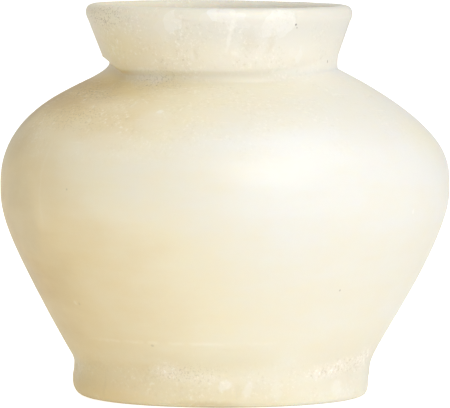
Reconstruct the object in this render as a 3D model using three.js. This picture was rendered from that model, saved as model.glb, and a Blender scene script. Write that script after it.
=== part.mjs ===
// A squat stone jar, ground by hand from one block of banded calcite (Egyptian alabaster).
// Millimetres, +Z up. The origin is at the middle of the foot's flat underside, below the middle of
// the belly. -Y is the front, -X the left side and +X the right side.
import * as THREE from "three";

// Driving dimensions: the whole jar, its stone's thickness, and the narrow way in.
const jarHeight = 191.7;
const bellyRadius = 110;
const wall = 10;
const floorThickness = 13;
const throatRadius = 46;

// The levels that divide the jar's height, from the top of the foot to the underside of the collar.
const footTop = 21.8;
const bellyBottom = 100;
const bellyTop = 104;
const shoulderTop = 158;
const collarBottom = 165.3;

// The collar was ground lower at the front than elsewhere: how far its lower edge dips there, the level
// that dips most, and how far below and above that level the dip reaches. The dip keeps its full depth as
// far to the left and right as these shares of the radius, and fades to nothing at the jar's sides.
const frontDip = {
  depth: 5.2,
  level: collarBottom - 0.3,
  below: 24,
  above: 22,
  leftShare: 0.86,
  rightShare: 0.25,
};

// How finely the solid is faceted: steps round the axis, a multiple of four so that the belly's full
// width lies on X and on Y, and steps along each kind of stretch of the outline.
const turns = 64;
const fine = 3;
const round = 5;
const long = 8;

// The jar was ground by eye, so its left and right outlines differ: the foot bulges further on the left,
// where the neck is also undercut, and the neck and collar stand a little left of the belly's middle.
// A radius is from the belly's axis, a height from the underside, an angle from the level.
// The pulls say how far each end of a curve keeps to its own direction before it bends away.
const left = {
  underside: 68.0,
  foot: { radius: 75.0, height: 8.0 },
  waist: { radius: 74.3, height: 15.5 },
  body: { radius: 76.3, height: footTop, angle: 61, lowerPull: 54, upperPull: 14 },
  shoulder: { radius: 61.9, height: shoulderTop - 0.65, angle: 33.5, upperPull: 11.5, lowerPull: 36.5 },
  neck: { radius: 56.8, height: collarBottom - 2.7 },
  collar: { radius: 60.0, height: collarBottom - 0.5 },
  lip: { radius: 68.4, height: jarHeight - 4.9 },
  rim: jarHeight,
  throat: throatRadius + 0.6,
};
const right = {
  underside: 66.6,
  foot: { radius: 70.5, height: 6.0 },
  waist: { radius: 71.2, height: 13.0 },
  body: { radius: 74.1, height: footTop, angle: 64, lowerPull: 14, upperPull: 22 },
  shoulder: { radius: 57.3, height: shoulderTop + 0.7, angle: 28, upperPull: 58, lowerPull: 12 },
  neck: { radius: 55.4, height: collarBottom - 3.8 },
  collar: { radius: 55.7, height: collarBottom + 0.5 },
  lip: { radius: 62.6, height: jarHeight - 5.9 },
  rim: jarHeight - 0.9,
  throat: throatRadius - 0.8,
};

// A point of the outline: a radius and a height.
function at(radius, height) {
  return new THREE.Vector2(radius, height);
}

// The point `length` away from `from`, in the direction `degrees` above the outward radius.
function away(from, degrees, length) {
  const angle = THREE.MathUtils.degToRad(degrees);
  return at(from.radius + length * Math.cos(angle), from.height + length * Math.sin(angle));
}

// One side's outline, drawn stretch by stretch from the middle of the underside. Every stretch has a
// fixed number of steps, so the left and right outlines match point by point.
class Outline {
  points = [at(0, 0)];

  add(CurveType, steps, ...controls) {
    const curve = new CurveType(this.points.at(-1), ...controls);
    this.points.push(...curve.getPoints(steps).slice(1));
    return this;
  }

  line(end) {
    return this.add(THREE.LineCurve, 1, end);
  }

  bend(steps, corner, end) {
    return this.add(THREE.QuadraticBezierCurve, steps, corner, end);
  }

  sweep(steps, leaving, arriving, end) {
    return this.add(THREE.CubicBezierCurve, steps, leaving, arriving, end);
  }
}

// The foot: a rounded lower edge, a bulge, the waist over it and the turn out to the body.
function drawFoot(outline, { underside, foot, waist, body }) {
  const halfway = (waist.height - foot.height) / 2;
  outline
    .line(at(underside, 0))
    .bend(round, at(foot.radius, 0.12 * foot.height), at(foot.radius, foot.height))
    .sweep(fine, away(foot, 90, halfway), away(waist, -90, halfway), at(waist.radius, waist.height))
    .sweep(fine, away(waist, 90, 3), away(body, body.angle, -3), at(body.radius, body.height));
}

// The body: a nearly straight lower part, the belly's short upright band, and the shoulder.
function drawBody(outline, { body, shoulder }) {
  const belly = { radius: bellyRadius, height: bellyBottom };
  const bellyEnd = { radius: bellyRadius, height: bellyTop };
  const bodyStart = away(body, body.angle, body.lowerPull);
  const shoulderEnd = away(shoulder, -shoulder.angle, shoulder.upperPull);
  outline
    .sweep(long, bodyStart, away(belly, -90, body.upperPull), at(bellyRadius, bellyBottom))
    .line(at(bellyRadius, bellyTop))
    .sweep(long, away(bellyEnd, 90, shoulder.lowerPull), shoulderEnd, at(shoulder.radius, shoulder.height));
}

// The neck's groove, the collar's lower edge over it, the flared collar and the outer half of its lip.
function drawCollar(outline, { shoulder, neck, collar, lip, rim }) {
  const grooveStart = away(shoulder, 180 - shoulder.angle, 2.4);
  outline
    .sweep(fine, grooveStart, away(neck, -90, 2.2), at(neck.radius, neck.height))
    .bend(fine, at(neck.radius, collar.height - 1.6), at(collar.radius, collar.height))
    .line(at(lip.radius - 1.2, lip.height - 3.6))
    .bend(2, at(lip.radius, lip.height - 1.2), at(lip.radius, lip.height))
    .bend(round, at(lip.radius, rim), at(lip.radius - wall / 2, rim));
}

// The inner half of the lip, the collar's flared inside and the narrow throat below it.
function drawThroat(outline, { shoulder, neck, lip, rim, throat }) {
  const mouth = { radius: lip.radius - wall, height: rim - wall / 2 };
  const throatTop = { radius: throat, height: neck.height + 0.6 };
  outline
    .bend(round, at(mouth.radius + 0.4, rim), at(mouth.radius, mouth.height))
    .sweep(fine, away(mouth, -112, 10), away(throatTop, 90, 4), at(throatTop.radius, throatTop.height))
    .line(at(throat, shoulder.height - 4));
}

// The hollow, which opens out under the shoulder and ends in a rounded heel and a slightly dished floor.
function drawHollow(outline, { body, shoulder, throat }) {
  const undercut = { radius: throat + 7, height: shoulder.height - 10.5 };
  const belly = { radius: bellyRadius - wall, height: (bellyBottom + bellyTop) / 2 };
  const heel = { radius: body.radius - wall - 2.5, height: body.height + 3 };
  const floor = { radius: heel.radius - 16, height: floorThickness + 0.6 };
  const heelEnd = away(heel, body.angle + 180, 7);
  outline
    .bend(fine, at(throat, undercut.height + 3.2), at(undercut.radius, undercut.height))
    .sweep(long, away(undercut, -30, 30), away(belly, 90, 20), at(belly.radius, belly.height))
    .sweep(long, away(belly, -90, 18), away(heel, body.angle, 34), at(heel.radius, heel.height))
    .sweep(round, heelEnd, away(floor, 2, 9), at(floor.radius, floor.height))
    .bend(2, at(floor.radius / 2, floorThickness), at(0, floorThickness));
}

// The closed outline of one side, from the axis at the underside to the axis at the hollow's floor.
function outlinePoints(side) {
  const outline = new Outline();
  drawFoot(outline, side);
  drawBody(outline, side);
  drawCollar(outline, side);
  drawThroat(outline, side);
  drawHollow(outline, side);
  return outline.points;
}

// The height that a point has once the collar's dip at the front is ground in.
function dipped(height, angle) {
  const { depth, level, below, above, leftShare, rightShare } = frontDip;
  const { smoothstep } = THREE.MathUtils;
  if (Math.sin(angle) >= 0) {
    return height;
  }
  const fromLeft = smoothstep(Math.cos(angle), -1, -leftShare);
  const fromRight = smoothstep(-Math.cos(angle), -1, -rightShare);
  const reach = height < level ? below : above;
  const near = smoothstep(reach - Math.abs(height - level), 0, reach);
  return height - depth * fromLeft * fromRight * near;
}

// Turns the outline about the upright axis, passing smoothly from the right outline to the left one and
// back: each lathe vertex is moved to its own mix of the two, and dipped at the front.
function turned(leftPoints, rightPoints) {
  const geometry = new THREE.LatheGeometry(rightPoints, turns);
  const position = geometry.getAttribute("position");
  const point = new THREE.Vector2();
  for (let vertex = 0; vertex < position.count; vertex += 1) {
    const row = vertex % rightPoints.length;
    const turn = Math.floor(vertex / rightPoints.length) % turns;
    const angle = (2 * Math.PI * turn) / turns;
    point.lerpVectors(leftPoints[row], rightPoints[row], (1 + Math.cos(angle)) / 2);
    const height = dipped(point.y, angle);
    position.setXYZ(vertex, point.x * Math.cos(angle), point.x * Math.sin(angle), height);
  }
  geometry.computeVertexNormals();
  return geometry;
}

function makeJar() {
  const stone = new THREE.MeshStandardMaterial({ color: 0xece2c6, roughness: 0.42, metalness: 0 });
  const jar = new THREE.Mesh(turned(outlinePoints(left), outlinePoints(right)), stone);
  jar.name = "jar";
  return jar;
}

const canopicJar = new THREE.Group();
canopicJar.add(makeJar());

export default canopicJar;
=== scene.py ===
"""Looks of a squat, lidless jar, ground by hand from one block of calcite alabaster.

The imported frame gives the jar's size and place. Around it this script builds the jar's stone surface with
Geometry Nodes, dresses it as ground and softly polished calcite, and sets a plain pale studio round it.
"""
import sys
import logging
import math
from collections.abc import Callable
from dataclasses import asdict, dataclass, field
from enum import Enum
from functools import partial

import bpy
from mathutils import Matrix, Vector


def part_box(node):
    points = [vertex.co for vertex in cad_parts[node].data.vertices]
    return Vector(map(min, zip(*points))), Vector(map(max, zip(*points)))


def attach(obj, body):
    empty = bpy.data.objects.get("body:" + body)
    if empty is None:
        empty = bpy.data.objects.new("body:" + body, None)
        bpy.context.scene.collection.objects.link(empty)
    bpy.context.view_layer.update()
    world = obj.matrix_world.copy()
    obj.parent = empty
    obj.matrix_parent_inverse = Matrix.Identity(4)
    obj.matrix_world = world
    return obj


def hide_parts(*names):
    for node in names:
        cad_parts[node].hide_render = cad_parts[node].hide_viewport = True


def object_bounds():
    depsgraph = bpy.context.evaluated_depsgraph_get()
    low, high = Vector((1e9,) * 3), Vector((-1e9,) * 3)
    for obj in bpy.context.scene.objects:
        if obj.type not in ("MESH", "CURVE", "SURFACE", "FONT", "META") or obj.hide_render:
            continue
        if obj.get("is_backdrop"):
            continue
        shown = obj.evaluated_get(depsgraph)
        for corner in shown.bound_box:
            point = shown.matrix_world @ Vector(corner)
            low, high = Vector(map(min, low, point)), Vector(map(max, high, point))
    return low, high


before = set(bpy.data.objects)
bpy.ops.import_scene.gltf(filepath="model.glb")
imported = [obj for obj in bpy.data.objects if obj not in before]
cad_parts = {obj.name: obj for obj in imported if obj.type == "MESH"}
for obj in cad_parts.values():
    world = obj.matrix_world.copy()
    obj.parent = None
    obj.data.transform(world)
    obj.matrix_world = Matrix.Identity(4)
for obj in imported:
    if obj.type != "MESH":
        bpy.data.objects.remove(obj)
CAD_LOW, CAD_HIGH = (Vector(corner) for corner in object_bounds())

NODE = "jar"
BODY = "root"
MM = 0.001

# What the jar's two sides share, in millimetres.
BELLY_RADIUS = 110.0
BELLY_BOTTOM = 100.0
BELLY_TOP = 104.0
FLOOR_THICKNESS = 13.0
WALL = 10.0

MATH = "ShaderNodeMath"
MIX = "ShaderNodeMix"
NOISE = "ShaderNodeTexNoise"
RANGE = "ShaderNodeMapRange"
VECTOR = "ShaderNodeVectorMath"

log = logging.getLogger("jar")

# What a node's input takes: a node, which gives its first output in use, a socket or a plain number.
Field = bpy.types.Node | bpy.types.NodeSocket | float


def linear(hex_colour: str) -> tuple[float, float, float, float]:
    """Turn an sRGB hex colour into the linear colour that a shader takes.

    Args:
        hex_colour: Six hex digits after a hash, such as "#e8d8b0".

    Returns:
        Linear red, green, blue and an alpha of one.
    """
    channels = [int(hex_colour[start : start + 2], 16) / 255 for start in (1, 3, 5)]
    curve = [c / 12.92 if c <= 0.04045 else ((c + 0.055) / 1.055) ** 2.4 for c in channels]
    return (*curve, 1.0)


def add_node(tree: bpy.types.NodeTree, kind: str, inputs: dict | None = None, **settings) -> bpy.types.Node:
    """Add a node to a tree, with its settings and links.

    Args:
        tree: The tree that the node joins.
        kind: The node's type name.
        inputs: Value, node or socket for each input, by the input's number, or by its name among those
            that the settings leave in use. A node gives the first output that is in use.
        **settings: Properties of the node.

    Returns:
        The new node.
    """
    node = tree.nodes.new(kind)
    for name, value in settings.items():
        setattr(node, name, value)
    for key, value in (inputs or {}).items():
        in_use = (s for s in node.inputs if s.name == key and s.enabled)
        socket = node.inputs[key] if isinstance(key, int) else next(in_use)
        if isinstance(value, bpy.types.Node):
            value = next(s for s in value.outputs if s.enabled)
        if isinstance(value, bpy.types.NodeSocket):
            tree.links.new(value, socket)
        else:
            socket.default_value = value
    return node


def fade(start: float, end: float, first: float = 0.0, last: float = 1.0) -> dict[str, float]:
    """Give a range node's limits for a change along an axis.

    Args:
        start: Where the change starts, in millimetres.
        end: Where it ends.
        first: The value at its start.
        last: The value at its end.

    Returns:
        The limits, by the names of the node's inputs.
    """
    return {"From Min": start * MM, "From Max": end * MM, "To Min": first, "To Max": last}


def within(add: Callable[..., bpy.types.Node], *fades: tuple[Field, dict], whole: Field = 1.0) -> Field:
    """Take a value down softly outside the places where it belongs.

    Args:
        add: What adds a node to the tree.
        *fades: For each soft fade, the value that it follows, and its limits.
        whole: The value where every fade is full.

    Returns:
        The value times every fade.
    """
    for value, limits in fades:
        share = add(RANGE, {"Value": value, **limits}, interpolation_type="SMOOTHSTEP")
        whole = add(MATH, {0: whole, 1: share}, operation="MULTIPLY")
    return whole


def fresh_tree(owner: bpy.types.Material | bpy.types.World) -> Callable[..., bpy.types.Node]:
    """Empty the node tree of a material or world.

    Args:
        owner: What the tree belongs to.

    Returns:
        The function that adds a node to that tree.
    """
    owner.use_nodes = True
    owner.node_tree.nodes.clear()
    return partial(add_node, owner.node_tree)


def put(name: str, data: bpy.types.ID) -> bpy.types.Object:
    """Put an object into the scene.

    Args:
        name: The object's name.
        data: Its mesh, light or camera.

    Returns:
        The object, at the origin.
    """
    placed = bpy.data.objects.new(name, data)
    bpy.context.scene.collection.objects.link(placed)
    return placed


def direction(azimuth: float, elevation: float = 0.0) -> Vector:
    """Give the unit vector that many degrees to the right of the front, and that many above the level."""
    turn, rise = math.radians(azimuth), math.radians(elevation)
    return Vector((math.sin(turn) * math.cos(rise), -math.cos(turn) * math.cos(rise), math.sin(rise)))


# ---------------------------------------------------------------------------------------------- outline


@dataclass(frozen=True)
class Curve:
    """One end of a curve: a radius and height in millimetres, its direction and how far it keeps to it."""

    radius: float
    height: float
    angle: float = 0.0
    lower_pull: float = 0.0
    upper_pull: float = 0.0

    def away(self, degrees: float, length: float) -> tuple[float, float]:
        """Give the point that far away, in the direction that many degrees above the outward radius."""
        angle = math.radians(degrees)
        return self.radius + length * math.cos(angle), self.height + length * math.sin(angle)

    @property
    def point(self) -> tuple[float, float]:
        """Give the end's own radius and height."""
        return self.radius, self.height


@dataclass(frozen=True)
class SideShape:
    """The sizes of one side of the jar, in millimetres from the belly's axis and from the underside."""

    underside: float
    foot: Curve
    waist: Curve
    body: Curve
    shoulder: Curve
    neck: Curve
    collar: Curve
    lip: Curve
    rim: float
    throat: float


LEFT = SideShape(
    underside=68.0,
    foot=Curve(75.0, 8.0),
    waist=Curve(74.3, 15.5),
    body=Curve(76.3, 21.8, 61, 54, 14),
    shoulder=Curve(61.9, 157.35, 33.5, 36.5, 11.5),
    neck=Curve(56.8, 162.6),
    collar=Curve(60.0, 164.8),
    lip=Curve(68.4, 186.8),
    rim=191.7,
    throat=46.6,
)
RIGHT = SideShape(
    underside=66.6,
    foot=Curve(70.5, 6.0),
    waist=Curve(71.2, 13.0),
    body=Curve(74.1, 21.8, 64, 14, 22),
    shoulder=Curve(57.3, 158.7, 28, 12, 58),
    neck=Curve(55.4, 161.5),
    collar=Curve(55.7, 165.8),
    lip=Curve(62.6, 185.8),
    rim=190.8,
    throat=45.2,
)


@dataclass(frozen=True)
class Bends:
    """The small bends that both sides share, in millimetres from the points that they join, and degrees.

    What leaves or arrives is how far a curve keeps to its direction there. A corner is where two straight
    lines would meet instead of the rounding. The foot's corner is a share of the foot's height.
    """

    foot_corner: float = 0.12
    waist_leaves: float = 3.0
    groove_leaves: float = 2.4
    groove_arrives: float = 2.2
    collar_corner: float = 1.6
    lip_inset: float = 1.2
    lip_drop: float = 3.6
    mouth_corner: float = 0.4
    mouth_angle: float = -112.0
    mouth_leaves: float = 10.0
    throat_rise: float = 0.6
    throat_arrives: float = 4.0
    throat_drop: float = 4.0
    undercut_out: float = 7.0
    undercut_drop: float = 10.5
    undercut_corner: float = 3.2
    undercut_angle: float = -30.0
    undercut_leaves: float = 30.0
    belly_arrives: float = 20.0
    belly_leaves: float = 18.0
    heel_inset: float = 2.5
    heel_rise: float = 3.0
    heel_arrives: float = 34.0
    heel_leaves: float = 7.0
    floor_inset: float = 16.0
    floor_rise: float = 0.6
    floor_angle: float = 2.0
    floor_arrives: float = 9.0


class Outline:
    """A jar side's closed outline, drawn stretch by stretch with a fixed number of steps for each."""

    def __init__(self, shape: SideShape) -> None:
        """Draw the whole outline from the middle of the underside to the middle of the hollow's floor.

        Args:
            shape: The side's sizes.
        """
        self.shape = shape
        self.bends = Bends()
        self.points: list[tuple[float, float]] = [(0.0, 0.0)]
        self.draw_foot()
        self.draw_body()
        self.draw_collar()
        self.rim_row = len(self.points) - 1
        self.draw_throat()
        self.draw_hollow()

    def stretch(self, steps: int, *controls: tuple[float, float]) -> None:
        """Add a Bezier stretch of any degree.

        Args:
            steps: How many steps the stretch takes.
            *controls: Its control points after the present end, the last being its own end.
        """
        pulls = [self.points[-1], *controls]
        degree = len(controls)
        for step in range(1, steps + 1):
            t = step / steps
            weights = [math.comb(degree, i) * t**i * (1 - t) ** (degree - i) for i in range(degree + 1)]
            radius = sum(w * p[0] for w, p in zip(weights, pulls))
            height = sum(w * p[1] for w, p in zip(weights, pulls))
            self.points.append((radius, height))

    def draw_foot(self) -> None:
        """Draw the underside, the foot's rounded edge and bulge, the waist and the turn out to the body."""
        s, b = self.shape, self.bends
        halfway = (s.waist.height - s.foot.height) / 2
        self.stretch(6, (s.underside, 0.0))
        self.stretch(8, (s.foot.radius, b.foot_corner * s.foot.height), s.foot.point)
        self.stretch(5, s.foot.away(90, halfway), s.waist.away(-90, halfway), s.waist.point)
        arriving = s.body.away(s.body.angle, -b.waist_leaves)
        self.stretch(5, s.waist.away(90, b.waist_leaves), arriving, s.body.point)

    def draw_body(self) -> None:
        """Draw the lower body, the belly's short upright band and the shoulder."""
        s = self.shape
        belly = Curve(BELLY_RADIUS, BELLY_BOTTOM)
        belly_end = Curve(BELLY_RADIUS, BELLY_TOP)
        rise = s.body.away(s.body.angle, s.body.lower_pull)
        self.stretch(50, rise, belly.away(-90, s.body.upper_pull), belly.point)
        self.stretch(2, belly_end.point)
        slope = s.shoulder.away(-s.shoulder.angle, s.shoulder.upper_pull)
        self.stretch(46, belly_end.away(90, s.shoulder.lower_pull), slope, s.shoulder.point)

    def draw_collar(self) -> None:
        """Draw the neck's groove, the collar's lower edge and flare, and the outer half of the lip."""
        s, b = self.shape, self.bends
        groove = s.shoulder.away(180 - s.shoulder.angle, b.groove_leaves)
        self.stretch(7, groove, s.neck.away(-90, b.groove_arrives), s.neck.point)
        self.stretch(5, (s.neck.radius, s.collar.height - b.collar_corner), s.collar.point)
        self.stretch(14, (s.lip.radius - b.lip_inset, s.lip.height - b.lip_drop))
        self.stretch(3, (s.lip.radius, s.lip.height - b.lip_inset), s.lip.point)
        self.stretch(7, (s.lip.radius, s.rim), (s.lip.radius - WALL / 2, s.rim))

    def draw_throat(self) -> None:
        """Draw the inner half of the lip, the collar's inside and the throat."""
        s, b = self.shape, self.bends
        mouth = Curve(s.lip.radius - WALL, s.rim - WALL / 2)
        throat = Curve(s.throat, s.neck.height + b.throat_rise)
        leaving = mouth.away(b.mouth_angle, b.mouth_leaves)
        self.stretch(7, (mouth.radius + b.mouth_corner, s.rim), mouth.point)
        self.stretch(12, leaving, throat.away(90, b.throat_arrives), throat.point)
        self.stretch(4, (s.throat, s.shoulder.height - b.throat_drop))

    def draw_hollow(self) -> None:
        """Draw the hollow under the shoulder, its wall, its rounded heel and its dished floor."""
        s, b = self.shape, self.bends
        undercut = Curve(s.throat + b.undercut_out, s.shoulder.height - b.undercut_drop)
        belly = Curve(BELLY_RADIUS - WALL, (BELLY_BOTTOM + BELLY_TOP) / 2)
        heel = Curve(s.body.radius - WALL - b.heel_inset, s.body.height + b.heel_rise)
        floor = Curve(heel.radius - b.floor_inset, FLOOR_THICKNESS + b.floor_rise)
        leaving = undercut.away(b.undercut_angle, b.undercut_leaves)
        arriving = heel.away(s.body.angle, b.heel_arrives)
        landing = floor.away(b.floor_angle, b.floor_arrives)
        self.stretch(4, (s.throat, undercut.height + b.undercut_corner), undercut.point)
        self.stretch(12, leaving, belly.away(90, b.belly_arrives), belly.point)
        self.stretch(12, belly.away(-90, b.belly_leaves), arriving, heel.point)
        self.stretch(5, heel.away(s.body.angle + 180, b.heel_leaves), landing, floor.point)
        self.stretch(5, (floor.radius / 2, FLOOR_THICKNESS), (0.0, FLOOR_THICKNESS))


# ----------------------------------------------------------------------------------------- stone surface


@dataclass(frozen=True)
class Relief:
    """How uneven the hand left the stone: how deep and wide each kind is and where it lies, in millimetres.

    The ridge's lowest place and its end are counted from its line. Below `untouched` nothing is taken off
    the jar, so that it stands flat, and from `worked` upwards the relief has its whole depth.
    """

    dip_depth: float = 5.2
    dip_level: float = 165.0
    dip_below: float = 24.0
    dip_above: float = 22.0
    swell_depth: float = 0.55
    swell_width: float = 46.0
    facet_depth: float = 0.26
    facet_width: float = 15.0
    stroke_depth: float = 0.10
    stroke_width: float = 6.0
    crumb_depth: float = 0.80
    crumb_width: float = 3.6
    patch_width: float = 24.0
    foot_height: float = 25.0
    foot_fade: float = 9.0
    collar_low: float = 160.0
    collar_high: float = 174.0
    ridge_depth: float = 0.45
    ridge_height: float = 30.3
    ridge_wander: float = 1.0
    ridge_lowest: float = -1.6
    ridge_end: float = -10.0
    untouched: float = 0.2
    worked: float = 4.0


class TurnedJarTree:
    """The Geometry Nodes tree that turns a left and a right outline into one closed jar of stone."""

    NAME = "turned_jar"
    # The collar's dip keeps its full depth as far left and right as these shares of the radius.
    DIP_LEFT = -0.86
    DIP_RIGHT = 0.25
    # The part of a noise that crumbles, from where it starts to where it is full.
    PATCHES = {"From Min": 0.42, "From Max": 0.62}
    CRUMBS = {"From Min": 0.50, "From Max": 0.78}
    # The azimuths between which the ridge fades in at its left end and out at its right end.
    RIDGE_LEFT = {"From Min": math.radians(-58), "From Max": math.radians(-44)}
    RIDGE_RIGHT = {"From Min": math.radians(24), "From Max": math.radians(4)}
    # Each layer of unevenness, and how much finer it is along X, Y and Z.
    LAYERS = {"swell": (1.0, 1.0, 1.0), "facet": (1.0, 1.0, 0.55), "stroke": (0.35, 0.35, 1.6)}

    def __init__(self, relief: Relief) -> None:
        """Build the tree, with a named input for each of the relief's sizes.

        Args:
            relief: The sizes that the tree takes.
        """
        self.tree = bpy.data.node_groups.new(self.NAME, "GeometryNodeTree")
        self.sockets: dict[str, str] = {}
        kinds = {"outlines": "NodeSocketGeometry", "rows": "NodeSocketInt", "rim_row": "NodeSocketInt"}
        kinds |= {"turns": "NodeSocketInt", "seed": "NodeSocketFloat", "stone": "NodeSocketMaterial"}
        kinds |= {name: "NodeSocketFloat" for name in asdict(relief)}
        for name, kind in kinds.items():
            socket = self.tree.interface.new_socket(name, in_out="INPUT", socket_type=kind)
            self.sockets[name] = socket.identifier
        self.tree.interface.new_socket("jar", in_out="OUTPUT", socket_type="NodeSocketGeometry")
        self.add = partial(add_node, self.tree)
        self.source = self.add("NodeGroupInput").outputs
        self.build()

    def build(self) -> None:
        """Join the tree's stages in order."""
        ground = self.grind(self.turn_outlines())
        smooth = self.add("GeometryNodeSetShadeSmooth", {"Geometry": ground})
        real = self.add("GeometryNodeRealizeInstances", {"Geometry": smooth})
        dressed = self.add("GeometryNodeSetMaterial", {"Geometry": real, "Material": self.source["stone"]})
        self.add("NodeGroupOutput", {"jar": dressed})

    def turn_outlines(self) -> Field:
        """Turn the outlines about the axis, mixing left into right by the azimuth.

        Returns:
            The closed jar, with its bake map and its "inside" attribute, before any relief.
        """
        add, source = self.add, self.source
        columns = add(MATH, {0: source["turns"], 1: 1.0}, operation="ADD")
        size = {"Size X": 1.0, "Size Y": 1.0, "Vertices X": columns, "Vertices Y": source["rows"]}
        grid = add("GeometryNodeMeshGrid", size)
        index = add("GeometryNodeInputIndex")
        row = add(MATH, {0: index, 1: source["rows"]}, operation="MODULO")
        before = add(MATH, {0: index, 1: row}, operation="SUBTRACT")
        column = add(MATH, {0: before, 1: source["rows"]}, operation="DIVIDE")
        turned = add(MATH, {0: column, 1: source["turns"]}, operation="DIVIDE")
        angle = add(MATH, {0: turned, 1: math.tau}, operation="MULTIPLY")
        cosine = add(MATH, {0: angle}, operation="COSINE")
        sine = add(MATH, {0: angle}, operation="SINE")

        # The outlines' points are one list: the left side's rows, and then the right side's.
        sides = []
        for first_row in (0.0, source["rows"]):
            point = add(MATH, {0: row, 1: first_row}, operation="ADD")
            place = add("GeometryNodeInputPosition")
            wanted = {"Geometry": source["outlines"], "Value": place, "Index": point}
            sides.append(add("GeometryNodeSampleIndex", wanted, data_type="FLOAT_VECTOR", domain="POINT"))
        right_share = add(MATH, {0: cosine, 1: 0.5, 2: 0.5}, operation="MULTIPLY_ADD")
        blended = add(MIX, {"Factor": right_share, "A": sides[0], "B": sides[1]}, data_type="VECTOR")
        outline = add("ShaderNodeSeparateXYZ", {0: blended}).outputs
        across = add(MATH, {0: outline["X"], 1: cosine}, operation="MULTIPLY")
        along = add(MATH, {0: outline["X"], 1: sine}, operation="MULTIPLY")
        height = self.dip(outline["Z"], cosine, sine)
        spot = add("ShaderNodeCombineXYZ", {"X": across, "Y": along, "Z": height})

        inside = add(MATH, {0: row, 1: source["rim_row"]}, operation="GREATER_THAN")
        sheet = grid.outputs["Mesh"]
        for name, value, kind, domain in (
            ("inside", inside, "FLOAT", "POINT"),
            ("OFBake", grid.outputs["UV Map"], "FLOAT2", "CORNER"),
        ):
            stored = {"Geometry": sheet, "Name": name, "Value": value}
            sheet = add("GeometryNodeStoreNamedAttribute", stored, data_type=kind, domain=domain)
        placed = add("GeometryNodeSetPosition", {"Geometry": sheet, "Position": spot})
        return add("GeometryNodeMergeByDistance", {"Geometry": placed, "Distance": 1e-6})

    def dip(self, height: Field, cosine: Field, sine: Field) -> Field:
        """Lower the collar's edge at the front, where the jar's maker ground it lower.

        Args:
            height: The outline's height.
            cosine: How far right each point is, as a share of its radius.
            sine: How far back each point is, as a share of its radius.

        Returns:
            The lowered height.
        """
        add, source = self.add, self.source
        gap = add(MATH, {0: height, 1: source["dip_level"]}, operation="SUBTRACT")
        lowest = add(MATH, {0: source["dip_below"], 1: -1.0}, operation="MULTIPLY")
        front = add(MATH, {0: sine, 1: 0.0}, operation="LESS_THAN")
        drop = add(MATH, {0: front, 1: source["dip_depth"]}, operation="MULTIPLY")
        drop = within(
            add,
            (cosine, {"From Min": -1.0, "From Max": self.DIP_LEFT}),
            (cosine, {"From Min": 1.0, "From Max": self.DIP_RIGHT}),
            (gap, {"From Min": lowest, "From Max": 0.0}),
            (gap, {"From Min": source["dip_above"], "From Max": 0.0}),
            whole=drop,
        )
        return add(MATH, {0: height, 1: drop}, operation="SUBTRACT")

    def noise(self, width: str, seed_step: float, stretch: tuple[float, float, float]) -> Field:
        """Scatter lumps of stone through the jar's space.

        Args:
            width: The input that holds one lump's width.
            seed_step: What sets these lumps apart from the tree's other ones.
            stretch: How much finer they are along each axis.

        Returns:
            A field between 0 and 1.
        """
        place = self.add("GeometryNodeInputPosition")
        spread = self.add(VECTOR, {0: place, 1: stretch}, operation="MULTIPLY")
        seed = self.add(MATH, {0: self.source["seed"], 1: seed_step}, operation="ADD")
        fineness = self.add(MATH, {0: 1.0, 1: self.source[width]}, operation="DIVIDE")
        inputs = {"Vector": spread, "W": seed, "Scale": fineness, "Detail": 2.0, "Roughness": 0.5}
        return self.add(NOISE, inputs, noise_dimensions="4D")

    def crumbling(self, height: Field) -> Field:
        """Work out how much has crumbled away in patches, at the foot and at the collar's lower edge.

        Args:
            height: The height of each point.

        Returns:
            The depth lost.
        """
        add, source = self.add, self.source
        full = add(MATH, {0: source["foot_height"], 1: source["foot_fade"]}, operation="SUBTRACT")
        foot = within(add, (height, {"From Min": source["foot_height"], "From Max": full}))
        middle = add(MATH, {0: source["collar_low"], 1: source["collar_high"]}, operation="ADD")
        middle = add(MATH, {0: middle, 1: 0.5}, operation="MULTIPLY")
        edges = (source["collar_low"], source["collar_high"])
        collar = within(add, *((height, {"From Min": edge, "From Max": middle}) for edge in edges))
        zones = add(MATH, {0: foot, 1: collar}, operation="MAXIMUM")
        patches = self.noise("patch_width", 21.0, (1, 1, 1))
        grains = self.noise("crumb_width", 14.0, (1, 1, 1))
        lost = within(add, (patches, self.PATCHES), (grains, self.CRUMBS), whole=zones)
        return add(MATH, {0: lost, 1: source["crumb_depth"]}, operation="MULTIPLY")

    def ridge(self, place: dict[str, Field]) -> dict[str, Field]:
        """Trace the low ridge across the front where two passes of the grinding stone met.

        Args:
            place: Each point's X, Y and Z.

        Returns:
            The fields "ridge_gap", how high each point is above the ridge, and "ridge_run", which is 1
            where the ridge runs and falls to 0 past its ends.
        """
        add, source = self.add, self.source
        towards_front = add(MATH, {0: place["Y"], 1: -1.0}, operation="MULTIPLY")
        azimuth = add(MATH, {0: place["X"], 1: towards_front}, operation="ARCTAN2")
        lumps = self.noise("patch_width", 33.0, (1, 1, 1))
        wander = add(MATH, {0: lumps, 1: source["ridge_wander"]}, operation="MULTIPLY")
        line = add(MATH, {0: wander, 1: source["ridge_height"]}, operation="ADD")
        return {
            "ridge_gap": add(MATH, {0: place["Z"], 1: line}, operation="SUBTRACT"),
            "ridge_run": within(add, (azimuth, self.RIDGE_LEFT), (azimuth, self.RIDGE_RIGHT)),
        }

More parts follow.
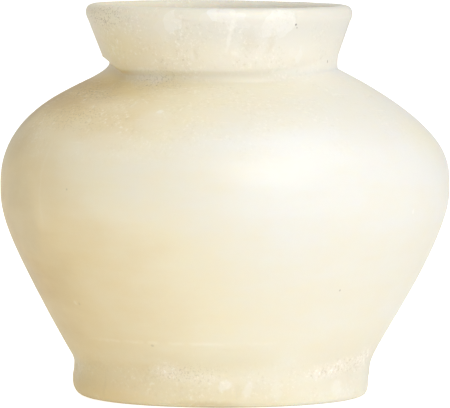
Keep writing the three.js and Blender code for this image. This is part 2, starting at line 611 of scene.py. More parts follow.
    def grind(self, turned: Field) -> Field:
        """Take the hand's unevenness off the turned surface, always inwards, and none off the underside.

        Args:
            turned: The smooth turned jar.

        Returns:
            The jar with its relief and the ridge's attributes.
        """
        add, source = self.add, self.source
        place = add("ShaderNodeSeparateXYZ", {0: add("GeometryNodeInputPosition")}).outputs
        depth = self.crumbling(place["Z"])
        for step, (name, stretch) in enumerate(self.LAYERS.items()):
            lumps = self.noise(f"{name}_width", float(step), stretch)
            depth = add(MATH, {0: lumps, 1: source[f"{name}_depth"], 2: depth}, operation="MULTIPLY_ADD")

        # The stone is lowest just under the ridge, and comes back up over the next few millimetres.
        ridge = self.ridge(place)
        gap = ridge["ridge_gap"]
        ends = (0.0, source["ridge_end"])
        under = within(add, *((gap, {"From Min": end, "From Max": source["ridge_lowest"]}) for end in ends))
        under = add(MATH, {0: under, 1: ridge["ridge_run"]}, operation="MULTIPLY")
        depth = add(MATH, {0: under, 1: source["ridge_depth"], 2: depth}, operation="MULTIPLY_ADD")

        worked = {"From Min": source["untouched"], "From Max": source["worked"]}
        taken = within(add, (place["Z"], worked), whole=depth)
        inward = add(MATH, {0: taken, 1: -1.0}, operation="MULTIPLY")
        offset = add(VECTOR, {0: add("GeometryNodeInputNormal"), "Scale": inward}, operation="SCALE")
        for name, value in ridge.items():
            stored = {"Geometry": turned, "Name": name, "Value": value}
            turned = add("GeometryNodeStoreNamedAttribute", stored, data_type="FLOAT", domain="POINT")
        return add("GeometryNodeSetPosition", {"Geometry": turned, "Offset": offset})


# ----------------------------------------------------------------------------------------------- finish


@dataclass(frozen=True)
class Coat:
    """How a layer or mark colours the stone: its colour, how much shows, and how wide its soft edge is."""

    colour: str
    amount: float
    soft: float = 0.0


@dataclass(frozen=True)
class Waves:
    """A noise through the stone: its seed, how wide its lumps are in millimetres, and its finer lumps."""

    seed: float
    width: float
    detail: float = 3.0
    roughness: float = 0.5

    def inputs(self, place: Field) -> dict:
        """Give the inputs of a noise node for these waves, at that place."""
        size = {"Scale": 1 / (self.width * MM), "Detail": self.detail, "Roughness": self.roughness}
        return {"Vector": place, "W": self.seed, **size}


@dataclass(frozen=True)
class Honey:
    """One part of the stone's honey, some parts painted shade as well: its greatest and least depth, and
    how it changes over the jar.

    It deepens evenly across the jar, or faster at the deep end where `bend` is over 1. Each soft fade
    takes it down along X, Y or Z, or along "across" or "height", which are X and Z with a slow drift.
    """

    deepest: float
    across: dict[str, float] = field(default_factory=partial(fade, 0, 1, 1, 1))
    bend: float = 1.0
    least: float = 0.0
    soft: tuple[tuple[str, dict[str, float]], ...] = ()


# The parts of the honey, some of them painted shade as well.
HONEY = (
    # The left side, from top to bottom, deepest at the far left: partly the stone's honey, partly painted
    # shade.
    Honey(1.55, fade(14, -108), bend=1.9),
    # The low body, more at the left.
    Honey(1.08, fade(122, -80), soft=(("height", fade(125, 55)), ("Z", fade(16, 26, 1.1)))),
    # The shoulder, nearly all of it at the left, up to the groove under the collar: partly the stone's
    # honey, partly painted shade on the top of the left shoulder.
    Honey(2.2, fade(122, -90), 2.6, 0.22, (("height", fade(119, 154)), ("Z", fade(162.5, 153)))),
    # The lower left of the collar.
    Honey(0.55, soft=(("across", fade(20, -40)), ("Z", fade(190, 167)), ("Z", fade(158, 163)))),
    # The right edge, under the belly: painted shade, darker and yellower where the side turns from the
    # light.
    Honey(0.42, fade(35, 108), soft=(("height", fade(118, 70)),)),
    # The back.
    Honey(0.4, soft=(("Y", fade(10, 90)),)),
)


class MarkKind(Enum):
    """What a single mark on the stone is."""

    CRYSTAL = Coat("#ecece9", 0.42, 0.90)
    VEIN = Coat("#f6f4ec", 0.45, 1.30)
    MILKY = Coat("#eeede9", 0.42, 0.80)
    CRUMBLY = Coat("#f3ece2", 0.44, 1.50)
    GOLD = Coat("#eadda2", 0.50, 1.70)
    HONEY = Coat("#bfa871", 0.42, 1.80)
    STAIN = Coat("#a58a5c", 0.35, 1.40)
    # Painted shade at the jar's edges.
    SKIN = Coat("#a9a48c", 0.42, 1.70)
    # A painted grey reflection down the left side.
    CRUST = Coat("#b3aa8c", 0.26, 0.55)
    GRIT = Coat("#8c7c56", 0.55, 1.60)
    SPECK = Coat("#4b3a26", 0.75, 1.00)


@dataclass(frozen=True)
class Mark:
    """One mark: its place on the outside, and its half sizes across and up, in millimetres and degrees."""

    azimuth: float
    height: float
    radius: float
    across: float
    up: float
    tilt: float = 0.0
    strength: float = 1.0


# How far a mark reaches in and out of the surface, in millimetres.
MARK_THICKNESS = 8.0

# The marks of each kind, from the front to the sides and the back, which have fewer. An azimuth is
# counted from the front towards the right.
MARKS = {
    # Coarse milky crystals in the collar.
    MarkKind.CRYSTAL: (
        Mark(-24, 182.6, 65.4, 4.6, 5.6, 14, 0.8),
        Mark(-6.5, 188, 64.8, 3.4, 3.4, 20),
        Mark(3, 185.8, 64.2, 7.5, 4.6, 0, 0.8),
        Mark(23.5, 183.8, 63.4, 9.5, 6.4, -4),
        Mark(38, 168.5, 57.5, 2.6, 2.4, 0, 0.9),
        Mark(118, 182, 62, 8, 5, 6, 0.8),
        Mark(163, 186, 64, 6, 4, -8, 0.9),
        Mark(-148, 181, 64.5, 9, 5.5, 0, 0.7),
    ),
    # The forked vein down the collar's front, then pale chips, flecks and a rub on the body. The tall thin
    # mark at the left is the pale edge of the painted reflection there.
    MarkKind.VEIN: (
        Mark(3.2, 182, 63.6, 0.9, 3.8, 12, 0.55),
        Mark(1.6, 176.5, 61.8, 1, 4.8, 4, 0.65),
        Mark(1, 171, 59.8, 0.8, 2.4, 0, 0.5),
        Mark(4.2, 169, 59, 1.5, 1.2, 30, 0.6),
        Mark(-57.8, 146.1, 82.5, 0.9, 0.7),
        Mark(-20.8, 141.8, 87.2, 1.2, 0.9, -10, 0.8),
        Mark(-32.5, 145.6, 82.5, 0.8, 1.2, 20, 0.4),
        Mark(-44, 137, 93.5, 1.5, 1, 0, 0.4),
        # Painted reflection: the pale inner edge of the grey band down the left side.
        Mark(-53.5, 110, 108.5, 0.9, 22, 3, 0.14),
        Mark(55.7, 93.7, 109.1, 0.8, 1.3, 10, 0.8),
        Mark(-52.2, 49.6, 91.3, 1, 0.9, 0, 0.5),
        Mark(140, 150, 76, 1.1, 9, 24, 0.5),
        Mark(-128, 128, 102, 1.2, 14, -14, 0.45),
    ),
    # Milky clouds in the groove and on the shoulder, and pale ovals near the foot's edge. The cloud in the
    # groove is partly painted light, lifting its shade, and the small one on the front shoulder is a
    # painted highlight.
    MarkKind.MILKY: (
        # Partly painted light, lifting the shade in the groove under the collar.
        Mark(-42, 157.5, 61.5, 16, 3.6, 0, 0.95),
        Mark(-33, 127, 103, 22, 8, 0, 0.3),
        Mark(-40, 146, 80, 18, 9, 0, 0.25),
        # A painted highlight on the front of the shoulder.
        Mark(-22, 138.5, 90.5, 8, 4.5, -12, 0.3),
        Mark(0.2, 10.8, 72.7, 3.2, 2.6, -14),
        Mark(8.6, 8.5, 72.3, 1.8, 4.2, 10, 0.8),
        Mark(20.5, 8, 71.8, 2.4, 4, 0, 0.5),
        Mark(49.6, 7.6, 71, 4, 3.4, 0, 0.7),
        Mark(150, 8, 72, 4, 3.2, 0, 0.7),
        Mark(-118, 9, 74, 3, 3.8, 0, 0.6),
    ),
    # Crumbled patches along the foot's waist.
    MarkKind.CRUMBLY: (
        Mark(48, 17.5, 72.8, 18, 3.6, -9, 1.1),
        Mark(66, 20.5, 72.5, 9, 5, -9, 1.2),
        Mark(-21, 18, 73.2, 7.5, 3.4, 0, 0.75),
        Mark(-10, 14, 73, 11, 2.4, 0, 0.5),
        Mark(-76, 16, 74, 10, 5, 0, 0.45),
        Mark(128, 15, 72.5, 16, 3.5, 4, 0.8),
        Mark(-158, 18, 74, 20, 3, -3, 0.8),
    ),
    # Yellower stone at the jar's two sides. At the collar's lower left and the left foot this is partly
    # painted light, lifting their shade, and at the right edge it paints the yellower tint of the shaded
    # edge.
    MarkKind.GOLD: (
        # Partly painted light, lifting the shade under the collar's lower left.
        Mark(-60, 171, 61, 15, 12, 0, 0.8),
        Mark(-74, 150, 76, 21, 7, 0, 0.35),
        # Painted shade: the yellower tint of the right edge.
        Mark(72, 128, 100, 16, 16, 0, 0.5),
        # Partly painted light, lifting the shade at the left foot's edge.
        Mark(-70, 12, 74.5, 20, 13, 0, 0.4),
        Mark(-140, 60, 96, 26, 12, -6, 0.6),
    ),
    # Deeper honey, from the collar down to the foot's edge, and painted shade on the left shoulder.
    MarkKind.HONEY: (
        Mark(11, 174, 60.6, 3.6, 4.5, 10, 0.4),
        Mark(21, 174, 60.2, 1.6, 6, 14, 0.35),
        # These three on the left shoulder are partly painted shade, browner where its top is shaded.
        Mark(-56, 150, 75, 15, 6, 0, 0.35),
        Mark(-82, 145.5, 83, 19, 9, 20, 1.1),
        Mark(-72, 125, 103, 13, 10, 0, 0.9),
        Mark(-54, 60, 99, 10, 17, 0, 0.5),
        Mark(-8, 23, 74, 40, 4.5, 0, 0.3),
        Mark(52, 22, 74, 24, 12, 0, 0.22),
        Mark(-68, 9, 74, 9, 6, 0, 0.3),
        Mark(-6, 1.6, 70.5, 14, 2.2),
        Mark(2, 5, 72, 50, 6, 0, 0.3),
        Mark(172, 96, 109, 24, 7, 8, 0.4),
    ),
    MarkKind.STAIN: (Mark(-51.5, 7.5, 74.4, 0.9, 4.6, 10, 0.25),),
    # Painted shade at the jar's left and right edges as seen from the front, greyer and with a wide soft
    # edge.
    MarkKind.SKIN: (
        Mark(88, 178, 60, 8, 15, 0, 0.8),
        Mark(-86, 80, 106, 16, 26, 0, 0.25),
        Mark(82, 16, 71.5, 12, 14, 0, 0.4),
        Mark(-84, 134, 98, 10, 12, 0, 0.7),
    ),
    # A painted reflection: a greyer band down the left side, with a clear edge.
    MarkKind.CRUST: (
        Mark(-66, 88, 107.5, 18, 24, 3, 0.8),
        Mark(-80, 62, 98, 15, 22, 0, 0.55),
    ),
    # Where dark dust fills the pores: the collar's upper left, the left shoulder and the foot.
    MarkKind.GRIT: (
        Mark(-62, 186, 67.5, 18, 5.2, 0, 1.4),
        Mark(-34, 156, 62.5, 16, 4, 0, 1.1),
        Mark(-62, 150.5, 74, 24, 8, 0, 1.3),
        Mark(-55, 140, 91, 24, 9, 0, 0.8),
        Mark(-66, 15, 74, 20, 8, 0, 0.25),
        Mark(-16, 17, 73, 18, 4, 0, 0.5),
        Mark(60, 18, 72.5, 17, 4, -9, 0.5),
    ),
    MarkKind.SPECK: (
        Mark(32.9, 182.6, 62.6, 0.45, 0.5),
        Mark(33.8, 181.1, 62, 0.35, 0.35, 0, 0.6),
        Mark(64, 163.8, 55.8, 0.5, 0.7, 0, 0.7),
        Mark(-43.3, 105.4, 109.8, 0.5, 0.5, 0, 0.3),
        Mark(35.7, 57, 94, 0.45, 0.45, 0, 0.5),
        Mark(-50.6, 49, 90.9, 0.6, 0.7, 0, 0.2),
        Mark(-25.8, 30.2, 80.2, 0.8, 0.6, 0, 0.25),
        Mark(-165, 120, 105, 0.7, 0.6, 0, 0.6),
        Mark(105, 70, 100.5, 0.6, 0.6, 0, 0.6),
    ),
}


@dataclass(frozen=True)
class CalciteAlabaster:
    """Calcite alabaster, ground with sandstone and softly polished by hand.

    The stone is a translucent cream calcite that deepens to honey and tan on one side, and is milky where
    its crystals are coarse. Painted shade deepens its left side, left shoulder and edges further, and
    painted light pales its right side. The eye sees light sink in and spread under a satin skin, whitish
    crumbs where the polish never reached, and fine scratches across the shoulder.
    """

    # The stone from its palest to its deepest honey, in equal steps between the two depths below. The
    # deepest tones also carry the painted shade of the left shoulder and the left edge.
    tones: tuple[str, ...] = ("#e0dfd9", "#e1dccb", "#e3dabe", "#e0d2ae", "#ddca9c", "#d3bc88", "#c4a770")
    palest: float = -0.25
    deepest: float = 2.75
    bloom: Coat = Coat("#efe5cb", 0.32)
    milk: Coat = Coat("#d3d2cb", 0.61)
    lip: Coat = Coat("#c2bb9f", 0.10)
    crumb: Coat = Coat("#faf6ec", 0.50)
    pit: Coat = Coat("#a8976f", 0.20)
    scratch: Coat = Coat("#f3e9d2", 0.18)
    # A painted highlight along the top of the ridge, where its edge catches the light.
    crest: Coat = Coat("#faf6ec", 0.18)
    dust: Coat = Coat("#b7ac86", 0.06)
    # The honey wanders this far either way in wide clouds, and lies in beds with thin beds and mottles.
    drift_mm: float = 20.0
    cloud: Waves = Waves(2, 62, 2)
    beds: Waves = Waves(5, 24, 4, 0.58)
    mottle: Waves = Waves(11, 17, 4, 0.58)
    thin_beds: Waves = Waves(13, 6, 4, 0.58)
    # The coarse crystals in the collar, which give its crystal marks straight edges.
    crystal_mm: float = 4.2
    patches: Waves = Waves(17, 15)
    # Crumbs of about half a millimetre are drawn three times as coarse, so that they show.
    crumbs: Waves = Waves(29, 1.7, 3, 0.66)
    # Pores of a fifth of a millimetre are drawn five times as coarse, so that they show.
    pores: Waves = Waves(19, 1, 2, 0.6)
    # Scratches of a tenth of a millimetre are drawn four times as wide, so that they show.
    scratch_mm: float = 0.42
    crest_breaks: Waves = Waves(37, 6)
    polish: Waves = Waves(31, 9, 4)
    grain: Waves = Waves(41, 0.9)
    ripple: Waves = Waves(43, 5)
    relief_mm: float = 0.25
    scatter_mm: float = 9.0
    # How densely crumbs lie outside their patches, and in the crumbly marks.
    stray_crumbs: float = 0.04
    crumbly_crumbs: float = 1.9
    # A satin polish, uneven, and rougher on the crumbs and inside.
    roughness: float = 0.30
    uneven_roughness: float = 0.18
    crumb_roughness: float = 0.25
    inside_roughness: float = 0.22

    def make(self) -> bpy.types.Material:
        """Build the material."""
        return CalciteShader(self).material


class CalciteShader:
    """Builds the calcite's node tree from its finish."""

    SEEDED = {"noise_dimensions": "4D"}
    # The depth of the stone's own tone, which falls off to the right before any honey is added. Its fall to
    # the right is painted light, paler on the lit right side for its whiter highlight.
    BASE = fade(-40, 50, 0.06, -0.26)
    # Heights where a layer comes in, or comes in and goes out again.
    ABOVE_NECK = fade(158, 163)
    MILK_RISE = fade(166, 182)
    LIP_RISE = fade(184, 189.5)
    COLLAR_EDGE = (fade(158, 165), fade(177, 165))
    FOOT = fade(27, 17, 0, 0.5)
    SHOULDER = fade(112, 146)
    SCRATCHED = (fade(98, 140), fade(172, 160))
    # How the crumbs thin out to the right, and the milk and bloom to the left.
    CRUMBS_ACROSS = fade(20, -45, 0.5)
    MILK_ACROSS = fade(-52, 8, 0.3)
    # The part of a noise that shows, from where it starts to where it is full.
    PATCHES = {"From Min": 0.40, "From Max": 0.62}
    CRUMBS = {"From Min": 0.53, "From Max": 0.68}
    PITS = {"From Min": 0.45, "From Max": 0.32}
    PORES = {"From Min": 0.48, "From Max": 0.33}
    SCRATCHES = {"From Min": 0.66, "From Max": 0.74}
    CREST_BREAKS = {"From Min": 0.36, "From Max": 0.62}

    def __init__(self, finish: CalciteAlabaster) -> None:
        """Make the material and its whole tree.

        Args:
            finish: The stone's colours and sizes.
        """
        self.finish = finish
        self.material = bpy.data.materials.new("ground_calcite_alabaster")
        self.add = fresh_tree(self.material)
        self.place = self.add("ShaderNodeTexCoord").outputs["Object"]
        self.axes = self.add("ShaderNodeSeparateXYZ", {0: self.place}).outputs
        self.inside = self.add("ShaderNodeAttribute", attribute_name="inside").outputs["Fac"]
        self.shaken = self.shake_place()
        cells = {"Vector": self.place, "Scale": 1 / (finish.crystal_mm * MM)}
        self.crystals = self.add("ShaderNodeTexVoronoi", cells).outputs["Position"]
        self.crumbly = self.gather(MarkKind.CRUMBLY)
        self.build()

    def shake_place(self) -> Field:
        """Shift each point a little at random, so that what is drawn there gets a natural ragged shape.

        Returns:
            The shifted place of each point.
        """
        lumps = {"Vector": self.place, "Scale": 1 / (7 * MM), "Detail": 4.0, "Roughness": 0.62}
        push = self.add(NOISE, lumps).outputs["Color"]
        centred = self.add(VECTOR, {0: push, 1: (0.5, 0.5, 0.5)}, operation="SUBTRACT")
        shift = self.add(VECTOR, {0: centred, "Scale": 6 * MM}, operation="SCALE")
        return self.add(VECTOR, {0: self.place, 1: shift}, operation="ADD")

    def gather(self, kind: MarkKind) -> Field:
        """Gather every mark of one kind into one mask.

        Args:
            kind: The marks to gather.

        Returns:
            A mask that is 1 within the strongest marks.
        """
        add, soft = self.add, kind.value.soft
        places = {MarkKind.CRYSTAL: self.crystals, MarkKind.SPECK: self.place}
        total = 0.0
        for mark in MARKS[kind]:
            centre = direction(mark.azimuth) * mark.radius * MM
            centre.z = mark.height * MM
            local = add(
                "ShaderNodeMapping",
                {
                    "Vector": places.get(kind, self.shaken),
                    "Location": centre,
                    "Rotation": (0.0, math.radians(mark.tilt), math.radians(mark.azimuth)),
                    "Scale": Vector((mark.across, MARK_THICKNESS, mark.up)) * MM,
                },
                vector_type="TEXTURE",
            )
            distance = add(VECTOR, {0: local}, operation="LENGTH").outputs["Value"]
            edge = {"From Min": 1 + soft / 2, "From Max": max(0.0, 1 - soft / 2), "To Max": mark.strength}
            total = add(MATH, {0: total, 1: within(add, (distance, edge))}, operation="MAXIMUM")
        return total

    def honey_depth(self) -> Field:
        """Add up how deep the honey is over the jar, with the painted shade and light in it, and let the
        stone's beds and mottles swing it.

        Returns:
            The depth, which is about 0 in the palest stone and 2.5 in the deepest.
        """
        add, finish = self.add, self.finish
        cloud = add(NOISE, finish.cloud.inputs(self.place), **self.SEEDED)
        reach = finish.drift_mm * MM
        drift = add(MATH, {0: cloud, 1: 2 * reach, 2: -reach}, operation="MULTIPLY_ADD")
        across = add(MATH, {0: self.axes["X"], 1: drift}, operation="ADD")
        height = add(MATH, {0: self.axes["Z"], 1: drift}, operation="ADD")
        values = dict(self.axes.items()) | {"across": across, "height": height}

        # Paler to the right: painted light on the lit side.
        depth = add(RANGE, {"Value": across, **self.BASE})
        for honey in HONEY:
            share = add(RANGE, {"Value": across, **honey.across})
            share = add(MATH, {0: share, 1: honey.bend}, operation="POWER")
            share = add(MATH, {0: share, 1: honey.deepest, 2: honey.least}, operation="MULTIPLY_ADD")
            share = within(add, *((values[axis], limits) for axis, limits in honey.soft), whole=share)
            depth = add(MATH, {0: share, 1: depth}, operation="ADD")

        # The beds of the stone lie nearly level, and fall a little to the right.
        lie = {"Rotation": (math.radians(6), math.radians(16), 0), "Scale": (0.2, 0.2, 1)}
        beds = add("ShaderNodeMapping", {"Vector": self.place, **lie})
        for place, waves, swing in (
            (beds, finish.beds, 0.9),
            (self.place, finish.mottle, 0.6),
            (beds, finish.thin_beds, 0.5),
        ):
            level = add(NOISE, waves.inputs(place), **self.SEEDED)
            centred = add(MATH, {0: level, 1: 0.5}, operation="SUBTRACT")
            depth = add(MATH, {0: centred, 1: swing, 2: depth}, operation="MULTIPLY_ADD")
        return depth

    def crumbs(self) -> tuple[Field, Field]:
        """Scatter white crumbs and pits, thick at the collar's lower edge and in the crumbly marks.

        Returns:
            The mask of the crumbs and the mask of the pits.
        """
        add, finish, height = self.add, self.finish, self.axes["Z"]
        leftward = add(RANGE, {"Value": self.axes["X"], **self.CRUMBS_ACROSS})
        collar = within(add, *((height, limits) for limits in self.COLLAR_EDGE))
        shoulder = within(add, (height, self.SHOULDER), whole=leftward)
        zones = within(add, (height, self.FOOT))
        for zone in (collar, shoulder):
            zones = add(MATH, {0: zones, 1: zone}, operation="MAXIMUM")
        patches = add(NOISE, finish.patches.inputs(self.place), **self.SEEDED)
        patchy = within(add, (patches, self.PATCHES))
        density = add(MATH, {0: zones, 1: patchy, 2: finish.stray_crumbs}, operation="MULTIPLY_ADD")
        thick = add(MATH, {0: self.crumbly, 1: finish.crumbly_crumbs}, operation="MULTIPLY")
        density = add(MATH, {0: density, 1: thick}, operation="MAXIMUM")

        grains = add(NOISE, finish.crumbs.inputs(self.place), **self.SEEDED)
        crumbs, pits = (within(add, (grains, shown), whole=density) for shown in (self.CRUMBS, self.PITS))
        return crumbs, pits

    def grit(self) -> Field:
        """Fill the pores of the gritty places with dark dust.

        Returns:
            The mask of the dust.
        """
        pores = self.add(NOISE, self.finish.pores.inputs(self.place), **self.SEEDED)
        return within(self.add, (pores, self.PORES), whole=self.gather(MarkKind.GRIT))

    def scratches(self) -> Field:
        """Draw fine oblique scratches over the shoulder, in two crossing directions.

        Returns:
            The mask of the scratches.
        """
        add, height = self.add, self.axes["Z"]
        zone = within(add, *((height, limits) for limits in self.SCRATCHED))
        zone = add(MATH, {0: zone, 1: 0.9, 2: 0.1}, operation="MULTIPLY_ADD")
        total = 0.0
        for seed, lean in ((3.0, 24.0), (7.0, -12.0)):
            turn = {"Vector": self.place, "Rotation": (0, math.radians(lean), 0), "Scale": (0.06, 0.06, 1)}
            lines = Waves(seed, 2 * self.finish.scratch_mm, 1).inputs(add("ShaderNodeMapping", turn))
            lengths = add(NOISE, {**lines, "Distortion": 0.3}, **self.SEEDED)
            drawn = within(add, (lengths, self.SCRATCHES))
            total = add(MATH, {0: total, 1: drawn}, operation="MAXIMUM")
        return add(MATH, {0: total, 1: zone}, operation="MULTIPLY")

    def crest(self) -> Field:
        """Find the top of the ridge low on the front, and paint a highlight along it, where its edge
        catches the light.

        Returns:
            The mask of the painted highlight, broken here and there.
        """
        gap = self.add("ShaderNodeAttribute", attribute_name="ridge_gap").outputs["Fac"]
        run = self.add("ShaderNodeAttribute", attribute_name="ridge_run").outputs["Fac"]
        away = self.add(MATH, {0: gap, 1: 0.5 * MM}, operation="SUBTRACT")
        away = self.add(MATH, {0: away}, operation="ABSOLUTE")
        breaks = self.add(NOISE, self.finish.crest_breaks.inputs(self.place), **self.SEEDED)
        return within(self.add, (away, fade(1.5, 0)), (breaks, self.CREST_BREAKS), whole=run)

    def own_tone(self) -> Field:
        """Colour the stone by how deep its honey is.

        Returns:
            The stone's tone, before anything lies on it.
        """
        finish = self.finish
        depths = {"From Min": finish.palest, "From Max": finish.deepest}
        level = self.add(RANGE, {"Value": self.honey_depth(), **depths})
        tone = self.add("ShaderNodeValToRGB", {"Fac": level})
        elements = tone.color_ramp.elements
        last = len(finish.tones) - 1
        while len(elements) <= last:
            elements.new(0.5)
        for step, shade in enumerate(finish.tones):
            elements[step].position = step / last
            elements[step].color = linear(shade)
        return tone

    def colour(self, crumbs: Field, pits: Field, lines: Field) -> Field:
        """Lay milk, marks (some of them painted shade, light and reflection), crumbs, scratches, the
        ridge's painted highlight and dust over the stone's own tone.

        Args:
            crumbs: The mask of the white crumbs.
            pits: The mask of the pits.
            lines: The mask of the scratches.

        Returns:
            The stone's colour.
        """
        finish, height = self.finish, self.axes["Z"]
        across = (self.axes["X"], self.MILK_ACROSS)
        coats = [
            (within(self.add, (height, self.ABOVE_NECK), across), finish.bloom),
            (within(self.add, (height, self.MILK_RISE), across), finish.milk),
            (within(self.add, (height, self.LIP_RISE)), finish.lip),
        ]
        masks = {MarkKind.CRUMBLY: self.crumbly, MarkKind.GRIT: self.grit()}
        for kind in MarkKind:
            coats.append((masks[kind] if kind in masks else self.gather(kind), kind.value))
        coats += [
            (crumbs, finish.crumb),
            (pits, finish.pit),
            (lines, finish.scratch),
            (self.crest(), finish.crest),
            (self.inside, finish.dust),
        ]
        tone = self.own_tone()
        for mask, coat in coats:
            share = self.add(MATH, {0: mask, 1: coat.amount}, operation="MULTIPLY")
            shades = {"Factor": share, "A": tone, "B": linear(coat.colour)}
            tone = self.add(MIX, shades, data_type="RGBA")
        return tone

    def build(self) -> None:
        """Join colour, gloss, bump and scatter into the surface."""
        add, finish = self.add, self.finish
        crumbs, pits = self.crumbs()
        lines = self.scratches()
        polish = add(NOISE, finish.polish.inputs(self.place), **self.SEEDED)
        gloss = finish.roughness
        for mask, amount in (
            (polish, finish.uneven_roughness),
            (crumbs, finish.crumb_roughness),
            (self.inside, finish.inside_roughness),
        ):
            gloss = add(MATH, {0: mask, 1: amount, 2: gloss}, operation="MULTIPLY_ADD")

        grain, ripple = (
            add(NOISE, waves.inputs(self.place), **self.SEEDED) for waves in (finish.grain, finish.ripple)
        )
        relief = 0.0
        for mask, rise in ((grain, 0.25), (ripple, 0.6), (crumbs, 0.9), (pits, -1.1), (lines, -0.5)):
            relief = add(MATH, {0: mask, 1: rise, 2: relief}, operation="MULTIPLY_ADD")
        bump = add("ShaderNodeBump", {"Strength": 0.4, "Distance": finish.relief_mm * MM, "Height": relief})
        surface = add(
            "ShaderNodeBsdfPrincipled",
            {
                "Base Color": self.colour(crumbs, pits, lines),
                "Roughness": gloss,
                "IOR": 1.57,
                "Normal": bump,
                "Subsurface Weight": 0.45,
                "Subsurface Radius": (1.0, 0.72, 0.42),
                "Subsurface Scale": finish.scatter_mm * MM,
            },
        )
        add("ShaderNodeOutputMaterial", {"Surface": surface})


# -------------------------------------------------------------------------------------------------- jar


@dataclass
class Jar:
    """The jar: one closed piece of stone, turned from its outlines inside the frame's box."""

    turns: int = 448
    seed: float = 3.7
    relief: Relief = field(default_factory=Relief)
    finish: CalciteAlabaster = field(default_factory=CalciteAlabaster)

    def unit(self) -> float:
        """Give the length in metres of one drawn millimetre, from the frame's own width."""
        low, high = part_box(NODE)
        return (high[0] - low[0]) / (2 * BELLY_RADIUS)

    def draw_outlines(self) -> tuple[bpy.types.Object, dict[str, int]]:
        """Draw the left outline and then the right one as the points of one mesh.

        Returns:
            The drawing, and how many rows one outline has and which of them tops the rim.
        """
        left, right = Outline(LEFT), Outline(RIGHT)
        unit = self.unit()
        mesh = bpy.data.meshes.new("outlines")
        mesh.from_pydata([(r * unit, 0.0, z * unit) for r, z in left.points + right.points], [], [])
        return put("outlines", mesh), {"rows": len(left.points), "rim_row": left.rim_row}

    def turn(self) -> bpy.types.Mesh:
        """Turn the outlines into a plain mesh of stone.

        Returns:
            The jar's mesh, in its place.
        """
        drawing, values = self.draw_outlines()
        jar_tree = TurnedJarTree(self.relief)
        values |= {"turns": self.turns, "seed": self.seed, "stone": self.finish.make()}
        values |= {name: size * MM for name, size in asdict(self.relief).items()}
        modifier = drawing.modifiers.new("turned", "NODES")
        modifier.node_group = jar_tree.tree
        for name, value in values.items():
            modifier[jar_tree.sockets[name]] = value
        graph = bpy.context.evaluated_depsgraph_get()
        mesh = bpy.data.meshes.new_from_object(drawing.evaluated_get(graph), depsgraph=graph)
        drawing.modifiers.remove(modifier)
        bpy.data.objects.remove(drawing)
        return mesh

    def build(self) -> bpy.types.Object:
        """Make the jar's piece and put it in the frame's place for it.

        Returns:
            The jar's object, at the origin.
        """
        piece = put("stone_jar", self.turn())
        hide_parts(NODE)
        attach(piece, BODY)
        log.info("stone jar: %d faces, %d points", len(piece.data.polygons), len(piece.data.vertices))
        return piece


# ----------------------------------------------------------------------------------------------- studio


@dataclass(frozen=True)
class SoftLight:
    """A square softbox: where it stands round the jar, in degrees and metres, its side and its power."""

    name: str
    azimuth: float
    elevation: float
    distance: float
    side: float
    power: float


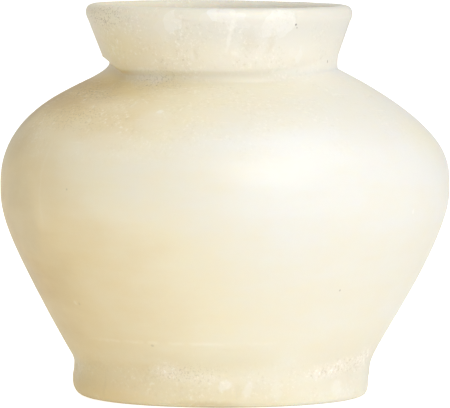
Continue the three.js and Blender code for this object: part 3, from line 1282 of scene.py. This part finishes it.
@dataclass
class Studio:
    """A plain pale floor, soft light and the camera."""

    floor_radius: float = 12.0
    camera_distance: float = 2.95
    camera_height: float = 0.287
    aim_height: float = 0.0932
    lens: float = 484.7
    # How brightly the room lights the jar and how brightly it is seen, and the same for the floor's glow.
    surround: float = 0.62
    backdrop: float = 1.1
    floor_glow: float = 0.23
    floor_seen: float = 0.83
    lights: tuple[SoftLight, ...] = (
        SoftLight("key", 24, 28, 1.7, 1.1, 10.5),
        SoftLight("side", 62, 58, 1.7, 1.2, 7.3),
    )

    def build(self) -> None:
        """Set up the whole studio."""
        self.build_camera()
        self.build_floor()
        self.build_surround()
        for light in self.lights:
            self.build_light(light)
        bpy.context.scene.view_settings.view_transform = "Standard"

    def build_camera(self) -> None:
        """Stand the camera in front of the jar with a long lens."""
        data = bpy.data.cameras.new("camera")
        data.lens = self.lens
        camera = put("camera", data)
        camera.location = (0, -self.camera_distance, self.camera_height)
        aim = Vector((0, 0, self.aim_height)) - camera.location
        camera.rotation_euler = aim.to_track_quat("-Z", "Y").to_euler()
        bpy.context.scene.camera = camera

    def build_light(self, light: SoftLight) -> None:
        """Hang one softbox and turn it to the jar.

        Args:
            light: The softbox's place, side and power.
        """
        data = bpy.data.lights.new(light.name, "AREA")
        data.shape = "SQUARE"
        data.size = light.side
        data.energy = light.power
        lamp = put(light.name, data)
        outwards = direction(light.azimuth, light.elevation)
        lamp.location = Vector((0, 0, CAD_HIGH.z / 2)) + outwards * light.distance
        lamp.rotation_euler = (-outwards).to_track_quat("-Z", "Y").to_euler()

    def build_floor(self) -> None:
        """Lay a wide round floor, a hair below the jar's underside."""
        mesh = bpy.data.meshes.new("floor")
        corners = 96
        turns = [math.tau * corner / corners for corner in range(corners)]
        rim = [Vector((math.cos(turn), math.sin(turn), 0)) * self.floor_radius for turn in turns]
        mesh.from_pydata([corner - Vector((0, 0, 0.2 * MM)) for corner in rim], [], [tuple(range(corners))])
        floor = put("floor", mesh)
        mesh.materials.append(self.dress_floor())
        floor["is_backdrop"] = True

    def dress_floor(self) -> bpy.types.Material:
        """Make the floor's matt white laminate, which is lit from below as a light table is.

        Returns:
            The floor's material.
        """
        material = bpy.data.materials.new("white_light_table")
        add = fresh_tree(material)
        seen = add("ShaderNodeLightPath").outputs["Is Camera Ray"]
        more = self.floor_seen - self.floor_glow
        glow = add(MATH, {0: seen, 1: more, 2: self.floor_glow}, operation="MULTIPLY_ADD")
        surface = add(
            "ShaderNodeBsdfPrincipled",
            {
                "Base Color": linear("#f6f5f2"),
                "Roughness": 0.7,
                "Emission Color": linear("#ffffff"),
                "Emission Strength": glow,
            },
        )
        add("ShaderNodeOutputMaterial", {"Surface": surface})
        return material

    def build_surround(self) -> None:
        """Surround the jar with soft light; the room itself shows white behind it."""
        world = bpy.data.worlds.new("white_room")
        bpy.context.scene.world = world
        add = fresh_tree(world)
        white = linear("#ffffff")
        seen = add("ShaderNodeLightPath").outputs["Is Camera Ray"]
        glow, backdrop = (
            add("ShaderNodeBackground", {"Color": white, "Strength": strength})
            for strength in (self.surround, self.backdrop)
        )
        mix = add("ShaderNodeMixShader", {0: seen, 1: glow, 2: backdrop})
        add("ShaderNodeOutputWorld", {"Surface": mix})


def main() -> None:
    """Build the studio and the jar, and report each."""
    logging.basicConfig(level=logging.INFO, format="%(name)s: %(message)s", stream=sys.stdout)
    Studio().build()
    log.info("studio: camera, floor, surround and softboxes")
    Jar().build()


if __name__ == "__main__":
    main()
